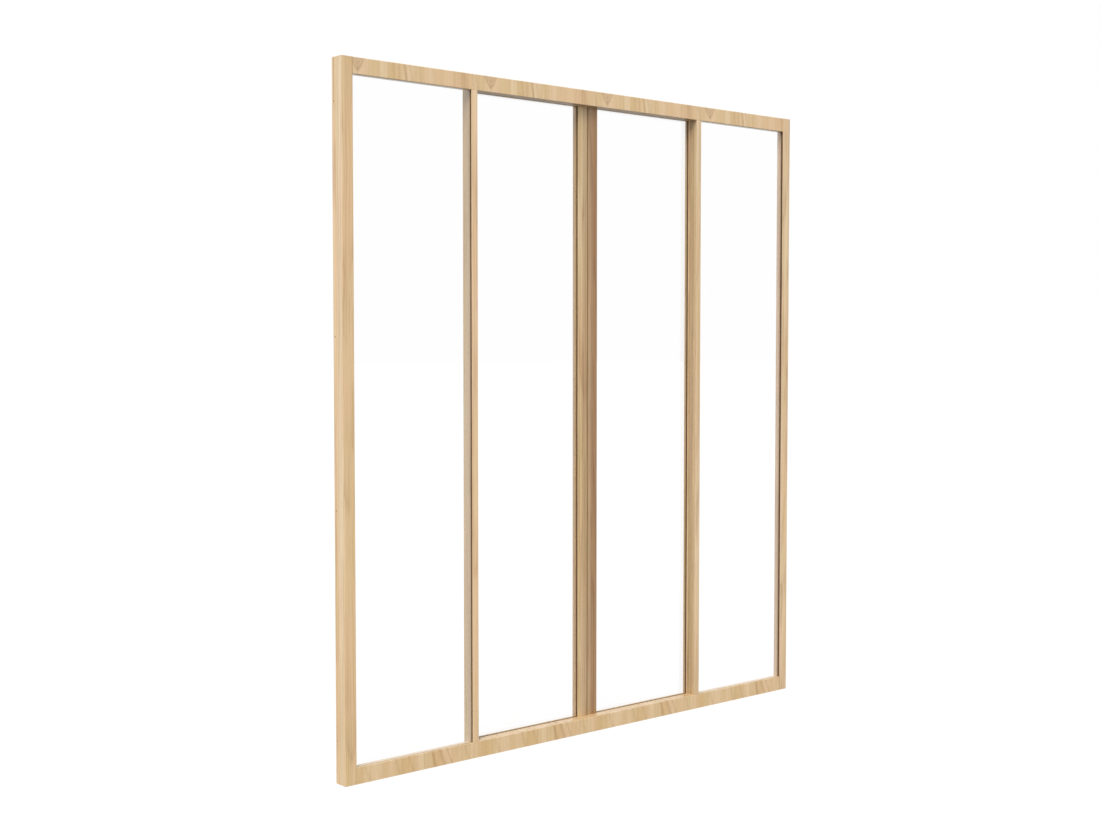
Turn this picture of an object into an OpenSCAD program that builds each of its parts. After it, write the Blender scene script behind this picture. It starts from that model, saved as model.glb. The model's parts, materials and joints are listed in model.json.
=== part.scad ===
// Sliding glass partition: a slim wooden frame of four bays. The two side bays hold fixed
// panes, and two glazed leaves close the doorway between them and slide apart behind the
// fixed panes. Depths are counted from the front face of the frame towards the back.

/* [Fixed frame] */
// Width over the jambs
frame_w = 2300; // [2100:10:2800]
// Height from the underside of the sill to the top of the head
frame_h = 2500; // [2100:10:2900]
// Depth of the fixed frame
frame_d = 60; // [56:1:80]
// Depth of the front members, up to the space in which the leaves run
front_d = 35; // [32:1:45]
// Face width of a jamb
jamb_w = 46; // [40:1:80]
// Face height of the head
head_h = 57; // [50:1:90]
// Face height of the sill
sill_h = 59; // [50:1:62]
// Face width of a mullion
mullion_w = 27; // [24:1:60]
// Clear width of the doorway between the mullions
door_w = 1138; // [900:2:1240]
// Step of a mullion towards the doorway, behind its face
mullion_step = 2; // [1:0.5:5]
// Depth at which a mullion steps out
mullion_step_d = 17; // [12:1:28]
// Thickness of the linings behind the front members
lining_t = 18; // [18:1:24]
// Radius of the eased outer edges
arris_r = 2; // [1:0.5:4]
// Radius of the eased edges at the panes
sight_r = 1.5; // [0.5:0.5:2]

/* [Glazing] */
// Thickness of every pane
pane_t = 6; // [4:1:8]
// Depth of a fixed pane behind the front face
fixed_reveal = 8; // [8:1:14]
// Depth of a leaf's pane behind the leaf's own front
leaf_reveal = 8; // [8:1:12]
// Width of the rebate that holds a pane's edge
rebate_w = 10; // [8:1:12]
// Space between a pane's edge and the bottom of its rebate
edge_gap = 3; // [2:0.5:5]
// Thickness of the seal that lines a reveal
seal_t = 2; // [1:0.5:3]
// Wooden lip left in front of a seal
seal_lip = 3; // [2:0.5:4]
// Gap at the ends of seals and beads
strip_gap = 0.4; // [0.2:0.1:1]
// Length of a setting block
block_l = 60; // [30:5:100]
// Distance from a pane's corner to the middle of a setting block
block_inset = 110; // [60:5:150]

/* [Leaves] */
// Width of an outer stile
outer_stile_w = 34; // [30:1:60]
// Width of a meeting stile
meeting_stile_w = 48; // [40:1:80]
// Thickness of a leaf
leaf_d = 24; // [23:1:30]
// Thickness of a meeting stile, which stands out at the back as the grip
meeting_stile_d = 34; // [28:1:50]
// Height of a leaf's top rail
top_rail_h = 25; // [25:1:60]
// Height of a leaf's bottom rail
bottom_rail_h = 34; // [34:1:80]
// Lap of a leaf over its mullion
leaf_lap = 25; // [15:1:26]
// Gap between the two leaves when they are closed
meeting_gap = 4; // [3:0.5:8]
// Gap between the front members and a leaf
run_gap = 1; // [0.5:0.5:3]
// Thickness of the seal on a meeting edge
meeting_seal_t = 1.8; // [1:0.1:2.4]
// Width of the seal on a meeting edge
meeting_seal_w = 12; // [8:1:14]

/* [Running gear] */
// Tread radius of a wheel
tread_r = 9; // [8:0.5:9]
// Flange radius of a wheel
flange_r = 11; // [10:0.5:11]
// Width of a wheel
wheel_w = 10; // [9:0.5:11]
// Clearance of a wheel on each side in its housing
wheel_gap = 0.5; // [0.3:0.1:0.7]
// Width of the groove in a wheel
groove_w = 5; // [5:0.5:6]
// Widening of the groove at each flange
groove_flare = 0.5; // [0.3:0.1:0.8]
// Radius of an axle
axle_r = 2.5; // [1.5:0.5:3]
// Running clearance of a wheel on its axle
axle_gap = 0.05; // [0.03:0.01:0.1]
// Gap between a wheel's tread and the rail
tread_gap = 0.3; // [0.2:0.1:0.5]
// Distance from a stile to the middle of a wheel
wheel_inset = 70; // [65:1:150]
// Length of a wheel's housing
housing_l = 49; // [40:1:56]
// Width of a wheel's housing
housing_w = 14; // [14:0.5:16]
// Thickness of the web over a wheel
housing_t = 1.5; // [1:0.1:1.5]
// Height of a wheel's housing
housing_h = 20; // [20:0.5:21]
// Length of each screwed ear of a housing
ear_l = 12; // [10:1:14]
// Thickness of each ear
ear_t = 2; // [1.5:0.5:3]
// Gap between a housing and its pocket
pocket_gap = 0.5; // [0.3:0.1:1]
// Width of the bottom track's base
track_w = 18; // [18:1:22]
// Thickness of the bottom track's base
track_t = 2; // [2:0.5:3]
// Width of the rail on the bottom track
rail_w = 4; // [3:0.5:4]
// Gap at the ends of the bottom track and of the top guide channel
track_end_gap = 1; // [0.5:0.5:3]
// Height of the rail above the base
rail_h = 3; // [3:0.5:5]
// Space under a leaf, above the rail
floor_gap = 3; // [2:0.5:4]
// Width of the top guide channel
channel_w = 16; // [14:1:20]
// Height of the top guide channel
channel_h = 12; // [10:1:16]
// Wall of the top guide channel
channel_t = 1.5; // [1:0.1:2]
// Space above a leaf, under the channel
top_gap = 3; // [2.5:0.5:5]
// Length of a guide shoe
shoe_l = 30; // [20:1:34]
// Height of a guide shoe
shoe_h = 10; // [8:0.5:10]
// Clearance of a guide shoe on each side
shoe_gap = 0.5; // [0.3:0.1:1]
// Distance from a meeting edge to its guide shoe
shoe_inset = 13.5; // [10:0.5:14]
// Length of an end buffer
buffer_l = 17.5; // [8:0.5:40]
// Width of an end buffer, from the front of the leaf that meets it
buffer_w = 7; // [5:1:20]
// Height of an end buffer
buffer_h = 40; // [20:1:60]
// Distance of the buffers from the floor and from the top
buffer_inset = 300; // [200:10:500]
// Clearance left at the end of the leaves' travel
end_gap = 0.5; // [0.3:0.1:1]

/* [Screws] */
// Radius of the holes for wall screws
wall_hole_r = 3; // [2:0.5:5]
// Distance of the outer wall screws from the floor and from the top
wall_outer_inset = 150; // [100:10:240]
// Distance of the inner wall screws from the floor and from the top
wall_inner_inset = 950; // [760:10:1000]
// Radius of a structural screw's head
head_r = 4; // [3.5:0.5:5]
// Height of a structural screw's head
head_t = 3; // [2:0.5:4]
// Radius of a structural screw's shank
shank_r = 2; // [1.5:0.5:3]
// Radius of a small screw's head
small_head_r = 2.6; // [2:0.1:3]
// Height of a small screw's head
small_head_t = 1.2; // [1:0.1:1.5]
// Radius of a small screw's shank
small_shank_r = 1.3; // [1:0.1:1.5]
// Length of a small screw's shank
small_shank_l = 14; // [8:1:16]
// Radius of a screw's socket as a share of its head's radius
socket_r_share = 0.45; // [0.3:0.05:0.6]
// Depth of a screw's socket as a share of its head's height
socket_share = 0.6; // [0.4:0.05:0.8]
// Clearance around a screw
screw_gap = 0.05; // [0.02:0.01:0.2]
// Length of a screw in the piece that it holds
screw_bite = 20; // [10:1:24]
// Length of a mullion's screw in the end of the mullion
mullion_bite = 40; // [20:1:80]
// Length of a leaf's corner screw in the end of a rail
corner_bite = 28; // [15:1:30]
// Wood between a leaf's front face and the head of a corner screw
corner_cover = 1; // [0.5:0.1:1.5]

/* [Dowels] */
// Radius of the dowels that join the head and the sill to the jambs
dowel_r = 5; // [4:0.5:6]
// Chamfer at a dowel's ends
dowel_chamfer = 1; // [0.5:0.5:2]
// Length of a dowel in a jamb
dowel_jamb_bite = 28; // [15:1:34]
// Length of a dowel in the end of the head or of the sill
dowel_rail_bite = 40; // [20:1:60]
// Distance of the first dowel from the outer edge
dowel_inset = 12; // [8:1:14]
// Distance between the two dowels of a joint
dowel_pitch = 22; // [15:1:23]
// Clearance around a dowel
dowel_gap = 0.05; // [0.02:0.01:0.2]

/* [Hidden] */
$fn = 48;
// Overshoot of a cut past an open face
over = 1;

// The whole part: the meeting stiles stand out behind the frame
leaf_front = front_d + run_gap;
leaf_back = leaf_front + leaf_d;
grip_back = leaf_front + meeting_stile_d;
overall_d = max(frame_d, grip_back);
run_d = leaf_front + leaf_d / 2;

// Fixed frame, right half
half_w = frame_w / 2;
jamb_x = half_w - jamb_w;
lining_x = half_w - lining_t;
door_x = door_w / 2;
bay_x = door_x + mullion_w;
head_z = frame_h - head_h;
lining_z = frame_h - lining_t;
mullion_mid = bay_x - rebate_w - (mullion_w - rebate_w) / 2;
dowel_l = dowel_jamb_bite + dowel_rail_bite;

// Right leaf, closed
meet_x = meeting_gap / 2;
stile_x = meet_x + meeting_stile_w;
leaf_x = door_x + leaf_lap;
outer_x = leaf_x - outer_stile_w;
track_z = lining_t + track_t + rail_h;
track_x = lining_x - track_end_gap;
channel_z = lining_z - channel_h;
leaf_z = track_z + floor_gap;
leaf_top = channel_z - top_gap;
sight_low = leaf_z + bottom_rail_h;
sight_high = leaf_top - top_rail_h;
leaf_pane_d = leaf_front + leaf_reveal;

// Running gear
axle_z = track_z + tread_r + tread_gap;
wheel_xs = [stile_x + wheel_inset, outer_x - wheel_inset];
shoe_w = channel_w - 2 * channel_t - 2 * shoe_gap;
shoe_xs = [meet_x + shoe_inset, leaf_x - (outer_stile_w - shoe_l) / 2 - shoe_l];
stop_x = shoe_xs[0] - end_gap;
web_z = lining_z - channel_t;
travel = lining_x - buffer_l - end_gap - leaf_x;
echo(str("travel of each leaf in mm: ", travel));

// Screws, each as head radius, head height, shank radius and shank length
head_screw = [head_r, head_t, shank_r, head_h - head_t + mullion_bite];
sill_screw = [head_r, head_t, shank_r, sill_h - head_t + mullion_bite];
lining_screw = [head_r, head_t, shank_r, frame_d - front_d - head_t + screw_bite];
outer_corner_screw = [head_r, head_t, shank_r, outer_stile_w - head_t + corner_bite];
meeting_corner_screw = [head_r, head_t, shank_r, meeting_stile_w - head_t + corner_bite];
small_screw = [small_head_r, small_head_t, small_shank_r, small_shank_l];
stop_screw = [small_head_r, small_head_t, small_shank_r, shoe_h + small_shank_l];

lining_screw_rows = [for (k = [0:4]) sill_h + k * (head_z - sill_h) / 4];
lining_screw_xs = [for (k = [-1.5:1:1.5]) k * (jamb_x - 2 * jamb_w) / 1.5];
track_screw_xs = [for (k = [-2:2]) k * (lining_x - jamb_w) / 2];
channel_screw_xs = [for (k = [-1.5:1:1.5]) k * (lining_x - jamb_w) / 1.5];
wall_screw_zs = [wall_outer_inset, wall_inner_inset, frame_h - wall_inner_inset, frame_h - wall_outer_inset];
track_screw_d = run_d - rail_w / 2 - (track_w - rail_w) / 4;
corner_screw_d = leaf_front + head_r + corner_cover;
corner_screw_zs = [(leaf_z + sight_low) / 2 - rebate_w / 2, (leaf_top + sight_high + seal_t) / 2];

ash = [0.85, 0.74, 0.58];
ash_shade = [0.80, 0.68, 0.52];
seal_brown = [0.30, 0.21, 0.13];
pane_tint = [0.88, 0.94, 0.92, 0.35];
metal = [0.72, 0.73, 0.74];
nylon = [0.93, 0.92, 0.88];
rubber_dark = [0.16, 0.15, 0.14];

// Everything below is drawn with depths from the front face; this centres the whole depth
module placed() { translate([0, -overall_d / 2, 0]) children(); }

// The right half as drawn (side 1), or its mirror image (side -1)
module on_side(side) {
    if (side > 0) placed() children();
    else mirror([1, 0, 0]) placed() children();
}

module block(x, d, z) {
    translate([x[0], d[0], z[0]]) cube([x[1] - x[0], d[1] - d[0], z[1] - z[0]]);
}

// Rectangle over the spans a and b, its corners eased by the four radii in turn
module eased(a, b, radii) {
    corners = [[a[0], b[0]], [a[1], b[0]], [a[1], b[1]], [a[0], b[1]]];
    difference() {
        translate([a[0], b[0]]) square([a[1] - a[0], b[1] - b[0]]);
        for (k = [0:3]) if (radii[k] > 0)
            translate(corners[k]) rotate(90 * k) difference() {
                translate([-over, -over]) square(radii[k] + over);
                translate([radii[k], radii[k]]) circle(radii[k]);
            }
    }
}

// Upright bar: the radii run front left, front right, back right, back left
module post(x, d, z, radii) {
    translate([0, 0, z[0]]) linear_extrude(z[1] - z[0]) eased(x, d, radii);
}

// Level bar: the radii run front bottom, back bottom, back top, front top
module rail(x, d, z, radii) {
    translate([x[0], 0, 0]) rotate([90, 0, 90]) linear_extrude(x[1] - x[0]) eased(d, z, radii);
}

// Screw with a flush head, pointing up from its head's outer face
module screw(s) {
    difference() {
        union() {
            cylinder(h = s[1], r = s[0]);
            cylinder(h = s[1] + s[3], r = s[2]);
        }
        translate([0, 0, -over]) cylinder(h = over + s[1] * socket_share, r = s[0] * socket_r_share, $fn = 6);
    }
}

module screw_hole(s) {
    translate([0, 0, -over]) cylinder(h = over + s[1], r = s[0] + screw_gap);
    cylinder(h = s[1] + s[3] + screw_gap, r = s[2] + screw_gap);
}

// Dowel, pointing up from its end in a jamb
module dowel() {
    rotate_extrude() polygon([
        [0, 0], [dowel_r - dowel_chamfer, 0], [dowel_r, dowel_chamfer],
        [dowel_r, dowel_l - dowel_chamfer], [dowel_r - dowel_chamfer, dowel_l], [0, dowel_l]
    ]);
}

module dowel_hole() {
    translate([0, 0, -dowel_gap]) cylinder(h = dowel_l + 2 * dowel_gap, r = dowel_r + dowel_gap);
}

// Places of the dowels, two in each corner of the fixed frame
module at_dowels() {
    for (side = [-1, 1], k = [0, 1], top = [0, 1]) {
        z = dowel_inset + k * dowel_pitch;
        translate([side * (jamb_x + dowel_jamb_bite), front_d / 2, top == 1 ? frame_h - z : z])
            rotate([0, -90 * side, 0]) children();
    }
}

// Places of the screws in the fixed frame
module at_head_screws() {
    for (side = [-1, 1]) translate([side * mullion_mid, front_d / 2, frame_h]) rotate([180, 0, 0]) children();
}

module at_sill_screws() {
    for (side = [-1, 1]) translate([side * mullion_mid, front_d / 2, 0]) children();
}

module at_lining_screws() {
    for (side = [-1, 1], z = lining_screw_rows)
        translate([side * (half_w - lining_t / 2), frame_d, z]) rotate([90, 0, 0]) children();
    for (x = lining_screw_xs, z = [lining_t / 2, frame_h - lining_t / 2])
        translate([x, frame_d, z]) rotate([90, 0, 0]) children();
}

module at_track_screws() {
    for (x = track_screw_xs) translate([x, track_screw_d, lining_t + track_t]) rotate([180, 0, 0]) children();
}

module at_channel_screws() {
    for (x = channel_screw_xs) translate([x, run_d, web_z - small_head_t]) children();
}

module at_stop_screw() {
    translate([0, run_d, web_z - shoe_h]) children();
}

// Places of the screws in the right leaf
module at_outer_corner_screws() {
    for (z = corner_screw_zs) translate([leaf_x, corner_screw_d, z]) rotate([0, -90, 0]) children();
}

module at_meeting_corner_screws() {
    for (z = corner_screw_zs) translate([meet_x, corner_screw_d, z]) rotate([0, 90, 0]) children();
}

module at_ear_screws() {
    for (x = wheel_xs, side = [-1, 1])
        translate([x + side * (housing_l + ear_l) / 2, run_d, leaf_z]) children();
}

module at_shoe_screws() {
    for (x = shoe_xs) translate([x + shoe_l / 2, run_d, leaf_top + shoe_h]) rotate([180, 0, 0]) children();
}

// Fixed frame, front members
module jamb() {
    difference() {
        post([jamb_x, half_w], [0, front_d], [0, frame_h], [sight_r, arris_r, 0, 0]);
        block([jamb_x - over, jamb_x + rebate_w], [fixed_reveal, front_d + over],
              [sill_h - rebate_w, head_z + rebate_w]);
        block([jamb_x - over, jamb_x + seal_t], [seal_lip, fixed_reveal + over], [sill_h, head_z]);
        at_dowels() dowel_hole();
        at_lining_screws() screw_hole(lining_screw);
    }
}

module mullion() {
    difference() {
        union() {
            post([door_x, bay_x], [0, front_d], [sill_h, head_z], [sight_r, sight_r, 0, 0]);
            block([door_x - mullion_step, door_x + over], [mullion_step_d, front_d], [sill_h, head_z]);
        }
        block([bay_x - rebate_w, bay_x + over], [fixed_reveal, front_d + over],
              [sill_h - over, head_z + over]);
        block([bay_x - seal_t, bay_x + over], [seal_lip, fixed_reveal + over],
              [sill_h - over, head_z + over]);
        at_head_screws() screw_hole(head_screw);
        at_sill_screws() screw_hole(sill_screw);
    }
}

// Rebates that both fixed panes need in the head or in the sill, over the heights in z
module pane_rebates(z) {
    for (side = [0, 1]) mirror([side, 0, 0])
        block([bay_x - rebate_w, jamb_x + over], [fixed_reveal, front_d + over], z);
}

module head() {
    color(ash) placed() difference() {
        rail([-jamb_x, jamb_x], [0, front_d], [head_z, frame_h], [sight_r, 0, 0, arris_r]);
        pane_rebates([head_z - over, head_z + rebate_w]);
        at_dowels() dowel_hole();
        at_head_screws() screw_hole(head_screw);
        at_lining_screws() screw_hole(lining_screw);
    }
}

module sill() {
    color(ash) placed() difference() {
        rail([-jamb_x, jamb_x], [0, front_d], [0, sill_h], [0, 0, 0, sight_r]);
        pane_rebates([sill_h - rebate_w, sill_h + over]);
        at_dowels() dowel_hole();
        at_sill_screws() screw_hole(sill_screw);
        at_lining_screws() screw_hole(lining_screw);
    }
}

// Fixed frame, linings behind the front members
module jamb_lining() {
    difference() {
        post([lining_x, half_w], [front_d, frame_d], [0, frame_h], [0, 0, arris_r, sight_r]);
        at_lining_screws() screw_hole(lining_screw);
        for (z = wall_screw_zs) translate([lining_x - over, run_d, z]) rotate([0, 90, 0])
            cylinder(h = lining_t + 2 * over, r = wall_hole_r);
    }
}

module head_lining() {
    color(ash_shade) placed() difference() {
        rail([-lining_x, lining_x], [front_d, frame_d], [lining_z, frame_h], [0, sight_r, arris_r, 0]);
        at_lining_screws() screw_hole(lining_screw);
        at_channel_screws() screw_hole(small_screw);
        at_stop_screw() screw_hole(stop_screw);
    }
}

module sill_lining() {
    color(ash_shade) placed() difference() {
        rail([-lining_x, lining_x], [front_d, frame_d], [0, lining_t], [0, 0, sight_r, 0]);
        at_lining_screws() screw_hole(lining_screw);
        at_track_screws() screw_hole(small_screw);
    }
}

// Glazing, shared by the fixed panes and the leaves: x and z are the visible spans
module pane(x, d, z) {
    lap = rebate_w - edge_gap;
    block([x[0] - lap, x[1] + lap], [d, d + pane_t], [z[0] - lap, z[1] + lap]);
}

module upright_seals(x, d, z) {
    for (edge = [x[0] - seal_t, x[1]])
        block([edge, edge + seal_t], d, [z[0] + strip_gap, z[1] - strip_gap]);
}

module level_seals(x, d, z) {
    for (edge = [z[0] - seal_t, z[1]])
        block([x[0] + strip_gap, x[1] - strip_gap], d, [edge, edge + seal_t]);
}

// Beads: the side ones reach back to the depths in backs, the level ones to level_back
module beads(x, d, z, backs, level_back) {
    block([x[0] - rebate_w, x[0]], [d, backs[0]], [z[0] - rebate_w, z[1] + rebate_w]);
    block([x[1], x[1] + rebate_w], [d, backs[1]], [z[0] - rebate_w, z[1] + rebate_w]);
    for (edge = [z[0] - rebate_w, z[1]])
        block([x[0] + strip_gap, x[1] - strip_gap], [d, level_back], [edge, edge + rebate_w]);
}

module setting_blocks(x, d, z) {
    for (mid = [x[0] + block_inset, x[1] - block_inset])
        block([mid - block_l / 2, mid + block_l / 2], [d, d + pane_t],
              [z[0] - rebate_w, z[0] - rebate_w + edge_gap]);
}

module fixed_glass() { pane([bay_x, jamb_x], fixed_reveal, [sill_h, head_z]); }
module fixed_seals() { upright_seals([bay_x, jamb_x], [seal_lip, fixed_reveal], [sill_h, head_z]); }
module fixed_beads() {
    beads([bay_x, jamb_x], fixed_reveal + pane_t, [sill_h, head_z], [front_d, front_d], front_d);
}
module fixed_blocks() { setting_blocks([bay_x, jamb_x], fixed_reveal, [sill_h, head_z]); }

// Track, guide and stops of the fixed frame
module bottom_track() {
    color(metal) placed() difference() {
        union() {
            block([-track_x, track_x], [run_d - track_w / 2, run_d + track_w / 2],
                  [lining_t, lining_t + track_t]);
            block([-track_x, track_x], [run_d - rail_w / 2, run_d + rail_w / 2],
                  [lining_t, track_z]);
        }
        at_track_screws() screw_hole(small_screw);
    }
}

module top_guide_channel() {
    color(metal) placed() difference() {
        block([-track_x, track_x], [run_d - channel_w / 2, run_d + channel_w / 2],
              [channel_z, lining_z]);
        block([-lining_x, lining_x],
              [run_d - channel_w / 2 + channel_t, run_d + channel_w / 2 - channel_t],
              [channel_z - over, web_z]);
        at_channel_screws() screw_hole(small_screw);
        at_stop_screw() screw_hole(stop_screw);
    }
}

module centre_stop() {
    color(nylon) placed() difference() {
        block([-stop_x, stop_x], [run_d - shoe_w / 2, run_d + shoe_w / 2], [web_z - shoe_h, web_z]);
        at_stop_screw() screw_hole(stop_screw);
    }
}

module end_buffers() {
    for (z = [buffer_inset, frame_h - buffer_inset])
        rail([lining_x - buffer_l, lining_x], [leaf_front, leaf_front + buffer_w],
             [z - buffer_h / 2, z + buffer_h / 2], [sight_r, sight_r, sight_r, sight_r]);
}

module frame_dowels() { color(ash_shade) placed() at_dowels() dowel(); }
module mullion_screws() {
    color(metal) placed() {
        at_head_screws() screw(head_screw);
        at_sill_screws() screw(sill_screw);
    }
}
module lining_screws() { color(metal) placed() at_lining_screws() screw(lining_screw); }
module track_screws() { color(metal) placed() at_track_screws() screw(small_screw); }
module channel_screws() {
    color(metal) placed() {
        at_channel_screws() screw(small_screw);
        at_stop_screw() screw(stop_screw);
    }
}

// Wooden frame of the right leaf
module outer_stile() {
    difference() {
        post([outer_x, leaf_x], [leaf_front, leaf_back], [leaf_z, leaf_top],
             [sight_r, sight_r, sight_r, 0]);
        block([outer_x - over, outer_x + rebate_w], [leaf_pane_d, leaf_back + over],
              [sight_low - rebate_w, sight_high + rebate_w]);
        block([outer_x - over, outer_x + seal_t], [leaf_front + seal_lip, leaf_pane_d + over],
              [sight_low, sight_high]);
        at_outer_corner_screws() screw_hole(outer_corner_screw);
        at_shoe_screws() screw_hole(small_screw);
    }
}

module meeting_stile() {
    difference() {
        post([meet_x, stile_x], [leaf_front, grip_back], [leaf_z, leaf_top],
             [sight_r, sight_r, 0, arris_r]);
        block([stile_x - rebate_w, stile_x + over], [leaf_pane_d, grip_back + over],
              [sight_low - rebate_w, sight_high + rebate_w]);
        block([stile_x - seal_t, stile_x + over], [leaf_front + seal_lip, leaf_pane_d + over],
              [sight_low, sight_high]);
        at_meeting_corner_screws() screw_hole(meeting_corner_screw);
        at_shoe_screws() screw_hole(small_screw);
    }
}

module leaf_top_rail() {
    difference() {
        rail([stile_x, outer_x], [leaf_front, leaf_back], [sight_high, leaf_top], [sight_r, 0, 0, 0]);
        block([stile_x - over, outer_x + over], [leaf_pane_d, leaf_back + over],
              [sight_high - over, sight_high + rebate_w]);
        block([stile_x - over, outer_x + over], [leaf_front + seal_lip, leaf_pane_d + over],
              [sight_high - over, sight_high + seal_t]);
        at_outer_corner_screws() screw_hole(outer_corner_screw);
        at_meeting_corner_screws() screw_hole(meeting_corner_screw);
    }
}

module leaf_bottom_rail() {
    pocket_l = housing_l + 2 * pocket_gap;
    pocket_w = housing_w + 2 * pocket_gap;
    difference() {
        rail([stile_x, outer_x], [leaf_front, leaf_back], [leaf_z, sight_low], [0, 0, 0, sight_r]);
        block([stile_x - over, outer_x + over], [leaf_pane_d, leaf_back + over],
              [sight_low - rebate_w, sight_low + over]);
        block([stile_x - over, outer_x + over], [leaf_front + seal_lip, leaf_pane_d + over],
              [sight_low - seal_t, sight_low + over]);
        for (x = wheel_xs) {
            block([x - pocket_l / 2, x + pocket_l / 2], [run_d - pocket_w / 2, run_d + pocket_w / 2],
                  [leaf_z - over, leaf_z + housing_h]);
            block([x - housing_l / 2 - ear_l, x + housing_l / 2 + ear_l],
                  [run_d - pocket_w / 2, run_d + pocket_w / 2], [leaf_z - over, leaf_z + ear_t]);
        }
        at_ear_screws() screw_hole(small_screw);
        at_outer_corner_screws() screw_hole(outer_corner_screw);
        at_meeting_corner_screws() screw_hole(meeting_corner_screw);
    }
}

// Glazing of the right leaf
module leaf_glass() { pane([stile_x, outer_x], leaf_pane_d, [sight_low, sight_high]); }
module leaf_seals() {
    upright_seals([stile_x, outer_x], [leaf_front + seal_lip, leaf_pane_d], [sight_low, sight_high]);
    level_seals([stile_x, outer_x], [leaf_front + seal_lip, leaf_pane_d], [sight_low, sight_high]);
}
module leaf_beads() {
    beads([stile_x, outer_x], leaf_pane_d + pane_t, [sight_low, sight_high],
          [grip_back, leaf_back], leaf_back);
}
module leaf_blocks() { setting_blocks([stile_x, outer_x], leaf_pane_d, [sight_low, sight_high]); }

module meeting_seal() {
    block([meet_x - meeting_seal_t, meet_x], [leaf_pane_d, leaf_pane_d + meeting_seal_w], [leaf_z, leaf_top]);
}

// Running gear of the right leaf
module wheel_housings() {
    difference() {
        for (x = wheel_xs) {
            block([x - housing_l / 2, x + housing_l / 2], [run_d - housing_w / 2, run_d + housing_w / 2],
                  [leaf_z, leaf_z + housing_h]);
            block([x - housing_l / 2 - ear_l, x + housing_l / 2 + ear_l],
                  [run_d - housing_w / 2, run_d + housing_w / 2], [leaf_z, leaf_z + ear_t]);
        }
        for (x = wheel_xs) {
            block([x - housing_l / 2 + ear_t, x + housing_l / 2 - ear_t],
                  [run_d - wheel_w / 2 - wheel_gap, run_d + wheel_w / 2 + wheel_gap],
                  [leaf_z - over, leaf_z + housing_h - housing_t]);
            translate([x, run_d - housing_w / 2 - over, axle_z]) rotate([-90, 0, 0])
                cylinder(h = housing_w + 2 * over, r = axle_r + axle_gap);
        }
        at_ear_screws() screw_hole(small_screw);
    }
}

module axles() {
    for (x = wheel_xs) translate([x, run_d - housing_w / 2, axle_z]) rotate([-90, 0, 0])
        cylinder(h = housing_w, r = axle_r);
}

module wheel(x) {
    translate([x, run_d, axle_z]) rotate([-90, 0, 0]) rotate_extrude() polygon([
        [axle_r + axle_gap, -wheel_w / 2], [flange_r, -wheel_w / 2], [flange_r, -groove_w / 2 - groove_flare],
        [tread_r, -groove_w / 2], [tread_r, groove_w / 2], [flange_r, groove_w / 2 + groove_flare],
        [flange_r, wheel_w / 2], [axle_r + axle_gap, wheel_w / 2]]);
}

module guide_shoes() {
    difference() {
        for (x = shoe_xs) translate([0, 0, leaf_top]) linear_extrude(shoe_h)
            eased([x, x + shoe_l], [run_d - shoe_w / 2, run_d + shoe_w / 2],
                  [arris_r, arris_r, arris_r, arris_r]);
        at_shoe_screws() screw_hole(small_screw);
    }
}

module corner_screws() {
    at_outer_corner_screws() screw(outer_corner_screw);
    at_meeting_corner_screws() screw(meeting_corner_screw);
}

module fitting_screws() {
    at_ear_screws() screw(small_screw);
    at_shoe_screws() screw(small_screw);
}

// Pieces that the two sides share, each drawn on its own side
module left_jamb() { color(ash) on_side(-1) jamb(); }
module right_jamb() { color(ash) on_side(1) jamb(); }
module left_mullion() { color(ash) on_side(-1) mullion(); }
module right_mullion() { color(ash) on_side(1) mullion(); }
module left_jamb_lining() { color(ash_shade) on_side(-1) jamb_lining(); }
module right_jamb_lining() { color(ash_shade) on_side(1) jamb_lining(); }
module left_fixed_glass() { color(pane_tint) on_side(-1) fixed_glass(); }
module right_fixed_glass() { color(pane_tint) on_side(1) fixed_glass(); }
module left_fixed_glass_seals() { color(seal_brown) on_side(-1) fixed_seals(); }
module right_fixed_glass_seals() { color(seal_brown) on_side(1) fixed_seals(); }
module left_fixed_glazing_beads() { color(ash_shade) on_side(-1) fixed_beads(); }
module right_fixed_glazing_beads() { color(ash_shade) on_side(1) fixed_beads(); }
module left_fixed_setting_blocks() { color(rubber_dark) on_side(-1) fixed_blocks(); }
module right_fixed_setting_blocks() { color(rubber_dark) on_side(1) fixed_blocks(); }
module left_end_buffers() { color(rubber_dark) on_side(-1) end_buffers(); }
module right_end_buffers() { color(rubber_dark) on_side(1) end_buffers(); }

module leaf_piece(side, piece) {
    if (piece == "outer_stile") color(ash) on_side(side) outer_stile();
    if (piece == "meeting_stile") color(ash) on_side(side) meeting_stile();
    if (piece == "top_rail") color(ash) on_side(side) leaf_top_rail();
    if (piece == "bottom_rail") color(ash) on_side(side) leaf_bottom_rail();
    if (piece == "glass") color(pane_tint) on_side(side) leaf_glass();
    if (piece == "glass_seals") color(seal_brown) on_side(side) leaf_seals();
    if (piece == "glazing_beads") color(ash_shade) on_side(side) leaf_beads();
    if (piece == "setting_blocks") color(rubber_dark) on_side(side) leaf_blocks();
    if (piece == "meeting_seal") color(seal_brown) on_side(side) meeting_seal();
    if (piece == "wheel_housings") color(metal) on_side(side) wheel_housings();
    if (piece == "axles") color(metal) on_side(side) axles();
    if (piece == "meeting_wheel") color(nylon) on_side(side) wheel(wheel_xs[0]);
    if (piece == "outer_wheel") color(nylon) on_side(side) wheel(wheel_xs[1]);
    if (piece == "guide_shoes") color(nylon) on_side(side) guide_shoes();
    if (piece == "corner_screws") color(metal) on_side(side) corner_screws();
    if (piece == "fitting_screws") color(metal) on_side(side) fitting_screws();
}

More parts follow.
